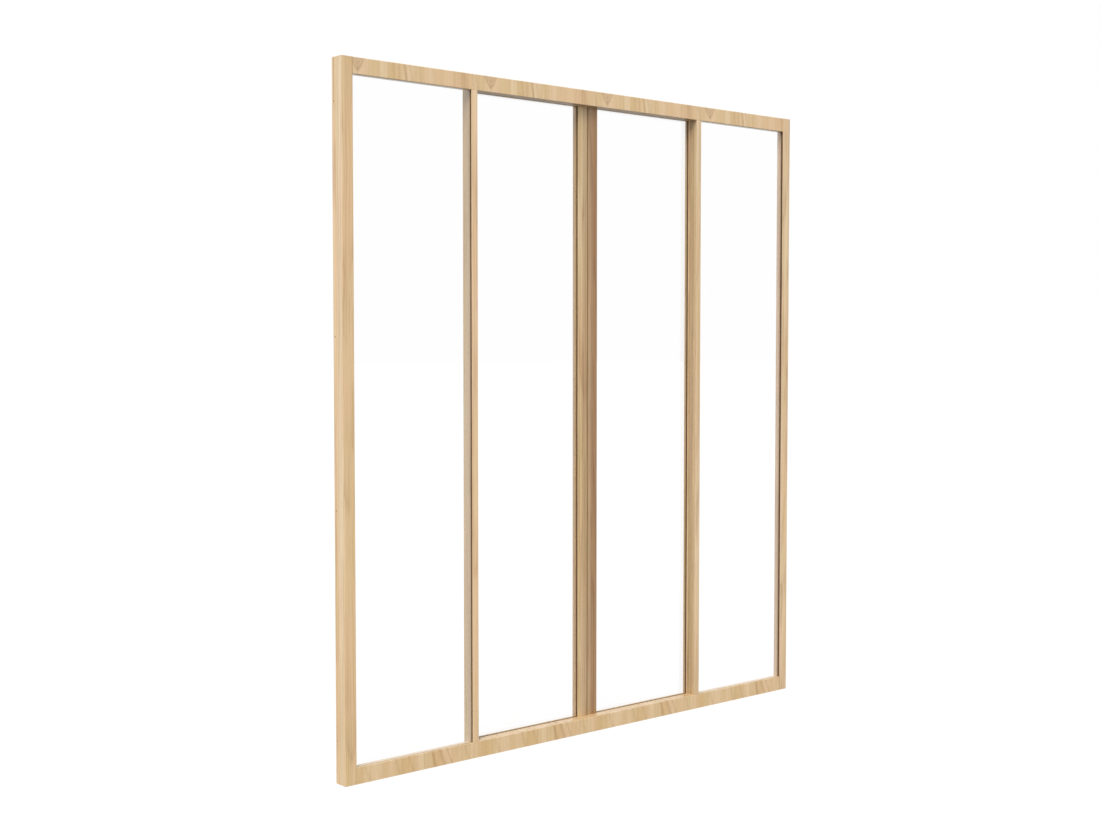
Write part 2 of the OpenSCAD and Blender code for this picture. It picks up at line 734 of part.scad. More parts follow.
left_jamb();
right_jamb();
head();
sill();
left_mullion();
right_mullion();
left_jamb_lining();
right_jamb_lining();
head_lining();
sill_lining();
left_fixed_glass();
right_fixed_glass();
left_fixed_glass_seals();
right_fixed_glass_seals();
left_fixed_glazing_beads();
right_fixed_glazing_beads();
left_fixed_setting_blocks();
right_fixed_setting_blocks();
bottom_track();
top_guide_channel();
centre_stop();
left_end_buffers();
right_end_buffers();
frame_dowels();
mullion_screws();
lining_screws();
track_screws();
channel_screws();
leaf_piece(-1, "outer_stile");  // left_leaf_outer_stile
leaf_piece(-1, "meeting_stile");  // left_leaf_meeting_stile
leaf_piece(-1, "top_rail");  // left_leaf_top_rail
leaf_piece(-1, "bottom_rail");  // left_leaf_bottom_rail
leaf_piece(-1, "glass");  // left_leaf_glass
leaf_piece(-1, "glass_seals");  // left_leaf_glass_seals
leaf_piece(-1, "glazing_beads");  // left_leaf_glazing_beads
leaf_piece(-1, "setting_blocks");  // left_leaf_setting_blocks
leaf_piece(-1, "meeting_seal");  // left_leaf_meeting_seal
leaf_piece(-1, "wheel_housings");  // left_leaf_wheel_housings
leaf_piece(-1, "axles");  // left_leaf_axles
leaf_piece(-1, "meeting_wheel");  // left_leaf_meeting_wheel
leaf_piece(-1, "outer_wheel");  // left_leaf_outer_wheel
leaf_piece(-1, "guide_shoes");  // left_leaf_guide_shoes
leaf_piece(-1, "corner_screws");  // left_leaf_corner_screws
leaf_piece(-1, "fitting_screws");  // left_leaf_fitting_screws
leaf_piece(1, "outer_stile");  // right_leaf_outer_stile
leaf_piece(1, "meeting_stile");  // right_leaf_meeting_stile
leaf_piece(1, "top_rail");  // right_leaf_top_rail
leaf_piece(1, "bottom_rail");  // right_leaf_bottom_rail
leaf_piece(1, "glass");  // right_leaf_glass
leaf_piece(1, "glass_seals");  // right_leaf_glass_seals
leaf_piece(1, "glazing_beads");  // right_leaf_glazing_beads
leaf_piece(1, "setting_blocks");  // right_leaf_setting_blocks
leaf_piece(1, "meeting_seal");  // right_leaf_meeting_seal
leaf_piece(1, "wheel_housings");  // right_leaf_wheel_housings
leaf_piece(1, "axles");  // right_leaf_axles
leaf_piece(1, "meeting_wheel");  // right_leaf_meeting_wheel
leaf_piece(1, "outer_wheel");  // right_leaf_outer_wheel
leaf_piece(1, "guide_shoes");  // right_leaf_guide_shoes
leaf_piece(1, "corner_screws");  // right_leaf_corner_screws
leaf_piece(1, "fitting_screws");  // right_leaf_fitting_screws
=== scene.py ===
import json
import math
import random
import bpy
from mathutils import Euler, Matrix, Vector


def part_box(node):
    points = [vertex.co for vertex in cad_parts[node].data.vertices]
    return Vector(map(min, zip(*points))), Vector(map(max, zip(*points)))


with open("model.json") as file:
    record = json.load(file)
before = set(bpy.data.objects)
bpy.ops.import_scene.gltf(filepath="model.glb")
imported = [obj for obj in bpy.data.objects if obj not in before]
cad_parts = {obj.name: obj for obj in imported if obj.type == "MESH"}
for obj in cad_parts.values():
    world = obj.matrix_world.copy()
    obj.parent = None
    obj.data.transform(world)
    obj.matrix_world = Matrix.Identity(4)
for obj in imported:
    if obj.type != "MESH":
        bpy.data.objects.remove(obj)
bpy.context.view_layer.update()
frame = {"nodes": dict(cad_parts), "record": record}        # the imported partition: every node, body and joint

slotOf = {row["node"]: row["material_slot"] for row in frame["record"]["subparts"]}


# Camera, fitted to the straight edges of the frame in the photograph
camera = {
    "pictureWidth": 1100,        # pixels
    "focalLength": 1518.28,      # pixels
    "sensorWidth": 36,           # mm
    "place": (-3.9696, -4.4233, 1.5349),
    "tilt": 87.337,              # degrees, 90 is level
    "heading": -40.483,          # degrees from the +Y direction
    "farthest": 400,             # metres, well past the floor's edge
}


def makeCamera():
    data = bpy.data.cameras.new("photo_camera")
    data.sensor_width = camera["sensorWidth"]
    data.lens = camera["focalLength"] / camera["pictureWidth"] * camera["sensorWidth"]
    data.clip_end = camera["farthest"]
    stand = bpy.data.objects.new("photo_camera", data)
    stand.location = camera["place"]
    stand.rotation_euler = Euler((math.radians(camera["tilt"]), 0, math.radians(camera["heading"])))
    bpy.context.scene.collection.objects.link(stand)
    bpy.context.scene.camera = stand
    print("camera ready")


# An sRGB hex colour as a linear one
def linear(hexColour):
    values = []
    for start in (1, 3, 5):
        value = int(hexColour[start:start + 2], 16) / 255
        values.append(value / 12.92 if value <= 0.04045 else ((value + 0.055) / 1.055) ** 2.4)
    return (*values, 1.0)


def addNode(tree, kind, settings=None, links=None):
    node = tree.nodes.new(kind)
    for key, value in (settings or {}).items():
        if key == "stops":        # of a colour ramp: place and grey, or place and hex colour
            ramp = node.color_ramp
            while len(ramp.elements) < len(value):
                ramp.elements.new(1.0)
            for element, (position, tone) in zip(ramp.elements, value):
                element.position = position
                element.color = linear(tone) if isinstance(tone, str) else (tone, tone, tone, 1.0)
        elif isinstance(key, int) or key in node.inputs:
            node.inputs[key].default_value = value
        else:
            setattr(node, key, value)
    for key, socket in (links or {}).items():
        tree.links.new(socket, node.inputs[key])
    return node


# Settings of a Map Range node: between which values it reads, and between which it gives
def span(low, high, least=0.0, most=1.0):
    return {1: low, 2: high, 3: least, 4: most}


def startMaterial(name):
    material = bpy.data.materials.new(name)
    material.use_nodes = True
    tree = material.node_tree
    tree.nodes.clear()
    place = addNode(tree, "ShaderNodeTexCoord").outputs["Object"]
    return material, tree, place


def coat(node, material):
    mesh = frame["nodes"][node].data
    mesh.materials.clear()
    mesh.materials.append(material)


# Ash, planed and sanded, under matt clear hardwax oil: pale straw with soft tan streaks and fine open
# pores, an even low sheen, and the oil's thin film shines a little where it is seen at a flat angle
ash = {
    "slot": "pale_ash",
    "pale": "#E3C89F",
    "straw": "#D2B27D",
    "rosy": "#DEB58E",
    "lateWood": "#A87F50",
    "pore": "#8F6B44",
    "driftMm": 22,               # how far the grain strays sideways along a board
    "ringMm": 15,                # real year rings are 2 to 4 mm: as coarse as the main view can show
    "unevenMm": 20,              # how much the years differ in width, and over what distance
    "unevenOverMm": 30,
    "yearTones": [(0.0, 0.25), (0.15, 0.0), (0.5, 0.12), (0.84, 0.62), (0.93, 1.0), (1.0, 0.25)],
    "diceStart": 7,
    "seeds": (0, 40),
    "heartAside": (-0.03, 0.03),         # metres: where the tree's heart lies from the board's middle
    "heartBehind": (0.04, 0.1),
    "heartHeight": (0.2, 2.2),
    "slants": (0.01, 0.03),      # of the rings to the board
    "roughness": (0.3, 0.7, 0.36, 0.5),          # from the fibres' noise
    "ior": 1.46,
    "oilFilm": 0.5,
    "oilFilmRoughness": 0.15,
    "reliefMm": 0.1,
    "reliefStrength": 0.4,
    "poreRelief": -0.8,          # pores are hollows
}

# Patterns of the ash, each a noise drawn out along the grain: its size across and along it in mm, the
# noise's detail, a number that keeps it apart from the others, and the span from noise to strength.
# Streaks and lines are drawn as coarse as the main view can show them
patterns = {
    "band": {"mm": (30, 1100), "detail": 3.0, "apart": 3, "span": (0.34, 0.66)},
    "patch": {"mm": (55, 500), "detail": 2.0, "apart": 5, "span": (0.42, 0.72, 0.0, 0.6)},
    "streak": {"mm": (8, 420), "detail": 2.0, "apart": 9, "span": (0.5, 0.74, 0.0, 0.25)},
    "line": {"mm": (5, 1600), "detail": 1.0, "apart": 17, "span": (0.52, 0.68, 0.0, 0.42)},
    "veneerLine": {"mm": (5, 1600), "detail": 1.0, "apart": 17, "span": (0.52, 0.68, 0.0, 0.126)},
    "ring": {"mm": (45, 320), "detail": 2.0, "apart": 7, "span": (0.4, 0.66, 0.1, 0.54)},
    "fibre": {"mm": (1.3, 90), "detail": 3.0, "apart": 11, "span": (0.25, 0.75, 0.91, 1.07),
              "roughness": 0.6},
    "pore": {"mm": (0.35, 5), "detail": 0.0, "apart": 13, "span": (0.63, 0.73, 0.0, 0.42)},
    "drift": {"mm": (140, 420), "detail": 2.0, "apart": 0},
    "veneerDrift": {"mm": (60, 160), "detail": 3.0, "apart": 21},
}
noiseSteps = ((1.37, 7), (2.11, 5), (0.73, 3))        # they move each noise to a place of its own

# Upright veneer on the head and the sill: its figure comes back along them, with single dark streaks
# and a flame that opens upwards and lies so high that it shows on the head alone
veneer = {
    "repeatMm": 577,
    "streakDriftMm": 22,
    "streakFade": 0.8,           # to each side of its middle, as a share of a streak's width
    "flamePlaceMm": 70,
    "flameTip": 2.459,           # metres above the floor
    "flameSteep": 0.65,          # of its sides at the tip; they stand up further out
    "flameRound": 34,            # how much steeper they get, per metre
    "flameFadeMm": 15,           # outside its edge
    "flameReachMm": 60,          # inside its edge
    "flameTones": [(0.0, 0.0), (0.14, 0.45), (0.22, 0.95), (0.3, 0.45), (0.38, 0.4), (0.46, 0.7),
                   (0.58, 0.4), (0.8, 0.3), (1.0, 0.3)],
    "flameDepth": 0.66,
    "flameDriftMm": 16,
}

# Boards that differ from the rest: tones over the distance from the part's middle in mm, a wash of
# another colour with its share, and another weight of the oil film. Some tones are painted shade in the
# reveals, and the fixed beads' pale wash is a painted reflection. The head's underside has a painted
# shade over the doorway. For veneer there are its lean and its streaks as place, width and strength
boards = {
    "head": {
        "veneer": True,
        "lean": 0.1,
        "streaks": [(10, 8, 0.35), (225, 8, 0.3), (272, 8, 0.6), (295, 14, 0.3), (530, 25, 0.35)],
        "oilFilm": 0.0,
        "wash": ("#FFF4E6", 0.05),
        # painted shade: the head's underside over the doorway, darkened where the leaves shade it
        "underside": {"heightMm": 2443, "withinMm": 0.3, "reachMm": 568.5, "tone": "#D2CCC6"},
    },
    "sill": {
        "veneer": True,
        "lean": 0.35,
        "streaks": [(105, 14, 0.2), (235, 7, 0.3), (292, 7, 0.3), (392, 9, 0.5), (430, 14, 0.5),
                    (463, 8, 0.4), (540, 10, 0.2)],
    },
    "left_jamb": {
        "wash": ("#F3DDBC", 0.2),
        # painted light: the outer side face is toned less yellow than the front, as a side lit from the left
        "tones": [(-1150, "#FAFCFE"), (-1149.8, "#FAFCFE"), (-1149.6, "#FAF7ED"), (-1104, "#FAF7ED")],
    },
    "right_jamb": {
        "wash": ("#FFF1DE", 0.05),
        # painted shade: the inner side face by the pane is darkened to deep brown, as a shadowed reveal
        "tones": [(1104, "#84725A"), (1104.2, "#84725A"), (1104.4, "#FFFFFF"), (1150, "#FFFFFF")],
    },
    "left_mullion": {"wash": ("#F4D0AE", 0.22)},
    "right_mullion": {
        "wash": ("#FFF3E2", 0.07),
        # painted shade: its left side faces in the doorway's reveal are darkened, the rear step most
        "tones": [(567, "#E0DED9"), (568, "#E0DED9"), (568.8, "#F3F1EA"), (569.4, "#F3F1EA"),
                  (569.8, "#FFFFFF"), (596, "#FFFFFF")],
    },
    "left_fixed_glazing_beads": {
        # painted reflection: the pale wash whitens the beads behind the pane; painted shade: tones darken their
        # upright side faces
        "wash": ("#F6ECDC", 0.34),
        "tones": [(-1104, "#E3DACE"), (-1103.8, "#E3DACE"), (-1103.6, "#FFFFFF"),
                  (-596.4, "#FFFFFF"), (-596.2, "#E0D7C9"), (-596, "#E0D7C9")],
    },
    "right_fixed_glazing_beads": {
        # painted reflection: the pale wash whitens the beads behind the pane; painted shade: tones darken their
        # upright side faces
        "wash": ("#FBF3E6", 0.35),
        "tones": [(596, "#E8DACE"), (596.2, "#E8DACE"), (596.4, "#FFFFFF"),
                  (1103.6, "#FFFFFF"), (1103.8, "#E8DACE"), (1104, "#E8DACE")],
    },
    "left_leaf_outer_stile": {
        # painted shade on its outer side face, behind the fixed pane
        "tones": [(-594, "#EFEFED"), (-593, "#EFEFED"), (-592, "#FFFFFF"), (-560, "#FFFFFF")],
    },
    # Both meeting stiles are toned darker towards the right, the right leaf's stile most
    "left_leaf_meeting_stile": {
        "tones": [(-50, "#F4F6F0"), (-32, "#F4F6F0"), (-24, "#DFDAD5"), (-2, "#DDD9D5")],
    },
    "right_leaf_meeting_stile": {
        "tones": [(2, "#D6D1CA"), (13, "#D6D1CA"), (20, "#BEA995"), (50, "#BCA790")],
    },
    "left_leaf_glazing_beads": {
        "wash": ("#9A743F", 0.45),
        "tones": [(-61, "#FFFFFF"), (-60.2, "#FFFFFF"), (-60, "#FAF6EB"), (-50, "#FAF6EB")],
    },
    "right_leaf_glazing_beads": {"wash": ("#9A743F", 0.45)},
}
levelWords = ("head_lining", "sill_lining", "_rail", "dowels")        # in the names of level pieces
beads = {"width": 0.010, "margin": 0.0002}        # metres; the margin leaves the upright beads out


def grainNoise(tree, place, pattern, board):
    values = patterns[pattern]
    across, along = (1000 / size for size in values["mm"])
    seed = board["seed"] + values["apart"]
    shift = tuple(seed * step % turn for step, turn in noiseSteps)
    mapped = addNode(tree, "ShaderNodeMapping",
                     {"Location": shift, "Scale": (across, across, along)}, {"Vector": place})
    return addNode(tree, "ShaderNodeTexNoise",
                   {"Scale": 1.0, "Detail": values["detail"], "Roughness": values.get("roughness", 0.5)},
                   {"Vector": mapped.outputs[0]})


# How strongly a pattern shows from place to place
def strength(tree, place, pattern, board):
    noise = grainNoise(tree, place, pattern, board).outputs[0]
    return addNode(tree, "ShaderNodeMapRange", span(*patterns[pattern]["span"]), {0: noise}).outputs[0]


# Coordinates with the grain along the third axis. Level beads are in one node with the upright ones
# and lie between them
def alongGrain(tree, place, axes, board):
    if not board["level"] and "levelSpan" not in board:
        return place
    turned = addNode(tree, "ShaderNodeCombineXYZ", None, {0: axes[2], 1: axes[1], 2: axes[0]}).outputs[0]
    if board["level"]:
        return turned
    middle, reach = board["levelSpan"]
    between = addNode(tree, "ShaderNodeMath", {"operation": "COMPARE", 1: middle, 2: reach},
                      {0: axes[0]}).outputs[0]
    return addNode(tree, "ShaderNodeMix", {"data_type": "VECTOR"},
                   {0: between, 4: place, 5: turned}).outputs[1]


# The grain isn't quite straight: it drifts sideways along the board
def drifted(tree, place, board):
    aside = grainNoise(tree, place, "drift", board).outputs["Color"]
    bend = (ash["driftMm"] / 1000,) * 3
    return addNode(tree, "ShaderNodeVectorMath", {"operation": "MULTIPLY_ADD", 1: bend},
                   {0: aside, 2: place}).outputs[0]


# Year rings round the tree's heart, at a slant to the board, so that their lines close up along it
def yearRings(tree, place, drift, board):
    fromHeart = addNode(tree, "ShaderNodeVectorMath", {"operation": "SUBTRACT", 1: board["heart"]},
                        {0: drift}).outputs[0]
    level = addNode(tree, "ShaderNodeVectorMath", {"operation": "MULTIPLY", 1: (1, 1, 0)}, {0: fromHeart})
    radius = addNode(tree, "ShaderNodeVectorMath", {"operation": "LENGTH"},
                     {0: level.outputs[0]}).outputs["Value"]
    height = addNode(tree, "ShaderNodeSeparateXYZ", None, {0: fromHeart}).outputs[2]
    slanted = addNode(tree, "ShaderNodeMath", {"operation": "MULTIPLY_ADD", 1: board["slant"]},
                      {0: height, 2: radius}).outputs[0]
    yearly = addNode(tree, "ShaderNodeTexNoise",
                     {"noise_dimensions": "1D", "Scale": 1000 / ash["unevenOverMm"], "Detail": 1.0},
                     {"W": slanted}).outputs[0]
    uneven = addNode(tree, "ShaderNodeMath", {"operation": "MULTIPLY_ADD", 1: ash["unevenMm"] / 1000},
                     {0: yearly, 2: slanted}).outputs[0]
    years = addNode(tree, "ShaderNodeMath", {"operation": "DIVIDE", 1: ash["ringMm"] / 1000},
                    {0: uneven}).outputs[0]
    year = addNode(tree, "ShaderNodeMath", {"operation": "FRACT"}, {0: years}).outputs[0]
    ring = addNode(tree, "ShaderNodeValToRGB", {"stops": ash["yearTones"]}, {0: year}).outputs[0]
    depth = strength(tree, place, "ring", board)
    return addNode(tree, "ShaderNodeMath", {"operation": "MULTIPLY"}, {0: ring, 1: depth}).outputs[0]


# Coordinates wound round a drum, so that the veneer's figure meets itself after one turn
def wound(tree, place, axes):
    radius = veneer["repeatMm"] / 1000 / math.tau
    turn = addNode(tree, "ShaderNodeMath", {"operation": "DIVIDE", 1: radius}, {0: axes[0]}).outputs[0]
    out = addNode(tree, "ShaderNodeMath", {"operation": "ADD", 1: radius}, {0: axes[1]}).outputs[0]
    flat = addNode(tree, "ShaderNodeCombineXYZ", None, {0: out, 2: axes[2]}).outputs[0]
    return addNode(tree, "ShaderNodeVectorRotate", {"rotation_type": "Z_AXIS"},
                   {"Vector": flat, "Angle": turn}).outputs[0]


# Single dark streaks, which lean over
def veneerStreaks(tree, axes, aside, board):
    repeat = veneer["repeatMm"] / 1000
    leaning = addNode(tree, "ShaderNodeMath", {"operation": "MULTIPLY_ADD", 1: board["lean"]},
                      {0: axes[2], 2: axes[0]}).outputs[0]
    shifted = addNode(tree, "ShaderNodeMath",
                      {"operation": "MULTIPLY_ADD", 1: veneer["streakDriftMm"] / 1000},
                      {0: aside, 2: leaning}).outputs[0]
    along = addNode(tree, "ShaderNodeMath", {"operation": "FLOORED_MODULO", 1: repeat},
                    {0: shifted}).outputs[0]
    share = addNode(tree, "ShaderNodeMath", {"operation": "DIVIDE", 1: repeat}, {0: along}).outputs[0]
    # Their places hold at the board's foot; the noise that moves them is near one half
    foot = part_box(board["node"])[0].z * 1000
    offset = board["lean"] * foot + veneer["streakDriftMm"] / 2
    stops = []
    for placeMm, widthMm, depth in board["streaks"]:
        middle = (placeMm + offset) % veneer["repeatMm"]
        fade = widthMm * veneer["streakFade"]
        stops.append(((middle - fade) / veneer["repeatMm"], 0.0))
        stops.append((middle / veneer["repeatMm"], depth))
        stops.append(((middle + fade) / veneer["repeatMm"], 0.0))
    return addNode(tree, "ShaderNodeValToRGB", {"stops": sorted(stops)}, {0: share}).outputs[0]


def veneerFlame(tree, axes, aside):
    drift = veneer["flameDriftMm"] / 1000
    shifted = addNode(tree, "ShaderNodeMath", {"operation": "MULTIPLY_ADD", 1: drift},
                      {0: aside, 2: axes[0]}).outputs[0]
    along = addNode(tree, "ShaderNodeMath", {"operation": "FLOORED_MODULO", 1: veneer["repeatMm"] / 1000},
                    {0: shifted}).outputs[0]
    middle = veneer["flamePlaceMm"] / 1000 + drift / 2
    off = addNode(tree, "ShaderNodeMath", {"operation": "SUBTRACT", 1: middle}, {0: along}).outputs[0]
    side = addNode(tree, "ShaderNodeMath", {"operation": "ABSOLUTE"}, {0: off}).outputs[0]
    rise = addNode(tree, "ShaderNodeMath", {"operation": "SUBTRACT", 1: veneer["flameTip"]},
                   {0: axes[2]}).outputs[0]
    steep = addNode(tree, "ShaderNodeMath",
                    {"operation": "MULTIPLY_ADD", 1: veneer["flameRound"], 2: veneer["flameSteep"]},
                    {0: side}).outputs[0]
    edge = addNode(tree, "ShaderNodeMath", {"operation": "MULTIPLY"}, {0: side, 1: steep}).outputs[0]
    within = addNode(tree, "ShaderNodeMath", {"operation": "SUBTRACT"}, {0: rise, 1: edge}).outputs[0]
    inside = addNode(tree, "ShaderNodeMapRange",
                     span(-veneer["flameFadeMm"] / 1000, veneer["flameReachMm"] / 1000),
                     {0: within}).outputs[0]
    flame = addNode(tree, "ShaderNodeValToRGB", {"stops": veneer["flameTones"]}, {0: inside}).outputs[0]
    return addNode(tree, "ShaderNodeMath", {"operation": "MULTIPLY", 1: veneer["flameDepth"]},
                   {0: flame}).outputs[0]


def veneerFigure(tree, axes, figure, board):
    aside = grainNoise(tree, figure, "veneerDrift", board).outputs[0]
    streaks = veneerStreaks(tree, axes, aside, board)
    flame = veneerFlame(tree, axes, aside)
    return addNode(tree, "ShaderNodeMath", {"operation": "MAXIMUM"}, {0: streaks, 1: flame}).outputs[0]


# What sets one board's colour apart from the rest, with painted shade, light and reflection on some boards
def ownTone(tree, axes, colour, board):
    # A wash of another colour; on the fixed beads the pale wash is a painted reflection
    if "wash" in board:
        washColour, share = board["wash"]
        colour = addNode(tree, "ShaderNodeMix", {"data_type": "RGBA", 0: share, 7: linear(washColour)},
                         {6: colour}).outputs[2]
    # Tones across the board; on side faces in the reveals they are painted shade
    if "tones" in board:
        first = board["tones"][0][0]
        last = board["tones"][-1][0]
        acrossBoard = addNode(tree, "ShaderNodeMapRange", span(first / 1000, last / 1000),
                              {0: axes[0]}).outputs[0]
        stops = [((mm - first) / (last - first), tone) for mm, tone in board["tones"]]
        tone = addNode(tree, "ShaderNodeValToRGB", {"stops": stops}, {0: acrossBoard}).outputs[0]
        colour = addNode(tree, "ShaderNodeVectorMath", {"operation": "MULTIPLY"},
                         {0: colour, 1: tone}).outputs[0]
    # Painted shade on a level underside, such as the head's over the doorway
    if "underside" in board:
        face = board["underside"]
        atHeight = addNode(tree, "ShaderNodeMath",
                           {"operation": "COMPARE", 1: face["heightMm"] / 1000, 2: face["withinMm"] / 1000},
                           {0: axes[2]}).outputs[0]
        inReach = addNode(tree, "ShaderNodeMath",
                          {"operation": "COMPARE", 1: 0.0, 2: face["reachMm"] / 1000},
                          {0: axes[0]}).outputs[0]
        shaded = addNode(tree, "ShaderNodeMath", {"operation": "MULTIPLY"},
                         {0: atHeight, 1: inReach}).outputs[0]
        colour = addNode(tree, "ShaderNodeMix",
                         {"data_type": "RGBA", "blend_type": "MULTIPLY", 7: linear(face["tone"])},
                         {0: shaded, 6: colour}).outputs[2]
    return colour


def makeAsh(name, board):
    material, tree, place = startMaterial(name)
    axes = addNode(tree, "ShaderNodeSeparateXYZ", None, {0: place}).outputs
    place = alongGrain(tree, place, axes, board)
    if board["veneer"]:
        figure = wound(tree, place, axes)
        drift = figure
        line = strength(tree, drift, "veneerLine", board)
        marks = veneerFigure(tree, axes, figure, board)
    else:
        figure = place
        drift = drifted(tree, place, board)
        line = strength(tree, drift, "line", board)
        marks = yearRings(tree, place, drift, board)

    # Broad bands from straw to pale and rosy patches, then late wood in streaks, lines, rings or figure
    ground = addNode(tree, "ShaderNodeMix",
                     {"data_type": "RGBA", 6: linear(ash["straw"]), 7: linear(ash["pale"])},
                     {0: strength(tree, figure, "band", board)}).outputs[2]
    rosy = addNode(tree, "ShaderNodeMix", {"data_type": "RGBA", 7: linear(ash["rosy"])},
                   {0: strength(tree, figure, "patch", board), 6: ground}).outputs[2]
    lines = addNode(tree, "ShaderNodeMath", {"operation": "ADD"},
                    {0: strength(tree, drift, "streak", board), 1: line}).outputs[0]
    dark = addNode(tree, "ShaderNodeMath", {"operation": "ADD", "use_clamp": True},
                   {0: lines, 1: marks}).outputs[0]
    marked = addNode(tree, "ShaderNodeMix", {"data_type": "RGBA", 7: linear(ash["lateWood"])},
                     {0: dark, 6: rosy}).outputs[2]

    # Fine fibres and open pores, in colour and in relief
    fibre = grainNoise(tree, place, "fibre", board).outputs[0]
    fibreShade = addNode(tree, "ShaderNodeMapRange", span(*patterns["fibre"]["span"]),
                         {0: fibre}).outputs[0]
    fibred = addNode(tree, "ShaderNodeVectorMath", {"operation": "SCALE"},
                     {0: marked, "Scale": fibreShade}).outputs[0]
    pores = strength(tree, place, "pore", board)
    pored = addNode(tree, "ShaderNodeMix", {"data_type": "RGBA", 7: linear(ash["pore"])},
                    {0: pores, 6: fibred}).outputs[2]
    sheen = addNode(tree, "ShaderNodeMapRange", span(*ash["roughness"]), {0: fibre}).outputs[0]
    height = addNode(tree, "ShaderNodeMath", {"operation": "MULTIPLY_ADD", 1: ash["poreRelief"]},
                     {0: pores, 2: fibre}).outputs[0]
    relief = addNode(tree, "ShaderNodeBump",
                     {"Strength": ash["reliefStrength"], "Distance": ash["reliefMm"] / 1000},
                     {"Height": height}).outputs[0]

    colour = ownTone(tree, axes, pored, board)
    surface = addNode(tree, "ShaderNodeBsdfPrincipled",
                      {"IOR": ash["ior"], "Coat Weight": board["oilFilm"],
                       "Coat Roughness": ash["oilFilmRoughness"]},
                      {"Base Color": colour, "Roughness": sheen, "Normal": relief})
    addNode(tree, "ShaderNodeOutputMaterial", None, {"Surface": surface.outputs[0]})
    return material


def coatWood():
    dice = random.Random(ash["diceStart"])
    made = 0
    for node in frame["nodes"]:
        if slotOf[node] != ash["slot"]:
            continue
        low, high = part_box(node)
        middle = (low + high) / 2
        level = any(word in node for word in levelWords)
        across = middle.z if level else middle.x
        board = {
            "node": node,
            "level": level,
            "veneer": False,
            "oilFilm": ash["oilFilm"],
            "seed": dice.uniform(*ash["seeds"]),
            "heart": (across + dice.uniform(*ash["heartAside"]),
                      middle.y + dice.uniform(*ash["heartBehind"]),
                      dice.uniform(*ash["heartHeight"])),
            "slant": dice.choice((-1, 1)) * dice.uniform(*ash["slants"]),
        }
        if "beads" in node:
            board["levelSpan"] = (middle.x, (high.x - low.x) / 2 - beads["width"] - beads["margin"])
        board.update(boards.get(node, {}))
        coat(node, makeAsh("oiled_ash_" + node, board))
        made += 1
    print("ash boards coated:", made)


# Float glass, cut and polished: almost colourless, mirrors faintly, with slight smears from wiping
glass = {
    "slot": "clear_glass",
    "tint": "#FEFEFE",
    "shade": "#DCDCDA",        # for soft light that reaches the wood behind a pane
    "ior": 1.6,                # float glass has 1.52: the panes in the photograph mirror a little more
    "smearMm": 110,
    "roughness": (0.4, 0.7, 0.0, 0.012),        # from the smears' noise
}


def makeGlass():
    material, tree, place = startMaterial("clear_float_glass")
    smear = addNode(tree, "ShaderNodeTexNoise", {"Scale": 1000 / glass["smearMm"], "Detail": 3.0},
                    {"Vector": place}).outputs[0]
    gloss = addNode(tree, "ShaderNodeMapRange", span(*glass["roughness"]), {0: smear}).outputs[0]
    pane = addNode(tree, "ShaderNodeBsdfPrincipled",
                   {"Base Color": linear(glass["tint"]), "IOR": glass["ior"], "Transmission Weight": 1.0},
                   {"Roughness": gloss})
    clear = addNode(tree, "ShaderNodeBsdfTransparent", {"Color": linear(glass["tint"])})
    dim = addNode(tree, "ShaderNodeBsdfTransparent", {"Color": linear(glass["shade"])})
    path = addNode(tree, "ShaderNodeLightPath").outputs
    lit = addNode(tree, "ShaderNodeMixShader", None,
                  {0: path["Is Shadow Ray"], 1: pane.outputs[0], 2: clear.outputs[0]})
    either = addNode(tree, "ShaderNodeMixShader", None,
                     {0: path["Is Diffuse Ray"], 1: lit.outputs[0], 2: dim.outputs[0]})
    addNode(tree, "ShaderNodeOutputMaterial", None, {"Surface": either.outputs[0]})
    return material


# Plain finishes: colour, how metallic and how rough it is, and the grit or draw lines of its surface
finishes = {
    # Extruded EPDM seal: dark brown, dull, with faint draw lines
    "brown_epdm_seal": {"slot": "brown_seal", "colour": "#56391F", "mark": "#3E2914", "metallic": 0.0,
                        "rough": (0.6, 0.75), "gritMm": (1.2, 1.2, 40)},
    # Moulded black rubber: matt, with a fine even grit
    "moulded_black_rubber": {"slot": "dark_rubber", "colour": "#262524", "mark": "#38352F",
                             "metallic": 0.0, "rough": (0.7, 0.85), "gritMm": (1.5, 1.5, 1.5)},
    # Anodised aluminium extrusion: satin grey with lengthwise draw lines
    "satin_anodised_aluminium": {"slot": "track_aluminium", "colour": "#C4C6C8", "mark": "#AEB1B4",
                                 "metallic": 1.0, "rough": (0.28, 0.42), "gritMm": (60, 0.6, 0.6)},
    # Zinc-plated pressed steel: cool grey with soft cloudy patches
    "zinc_plated_steel": {"slot": "zinc_steel", "colour": "#B4B8BC", "mark": "#96999C",
                          "metallic": 1.0, "rough": (0.3, 0.5), "gritMm": (9, 9, 9)},
    # Zinc-plated screw steel: brighter, with fine turning marks
    "plated_screw_steel": {"slot": "screw_steel", "colour": "#BDBBB2", "mark": "#8E8C84",
                           "metallic": 1.0, "rough": (0.25, 0.42), "gritMm": (2, 2, 2)},
    # Moulded nylon: off-white, half matt, slightly mottled
    "moulded_nylon": {"slot": "nylon", "colour": "#E4E1D6", "mark": "#CFCBBD", "metallic": 0.0,
                      "rough": (0.38, 0.5), "gritMm": (3, 3, 3)},
}
grit = {
    "colour": (0.35, 0.75),        # noise levels between which the mark's colour comes in
    "gloss": (0.3, 0.7),           # noise levels between which the roughness changes
    "reliefMm": 0.1,
    "reliefStrength": 0.3,
}


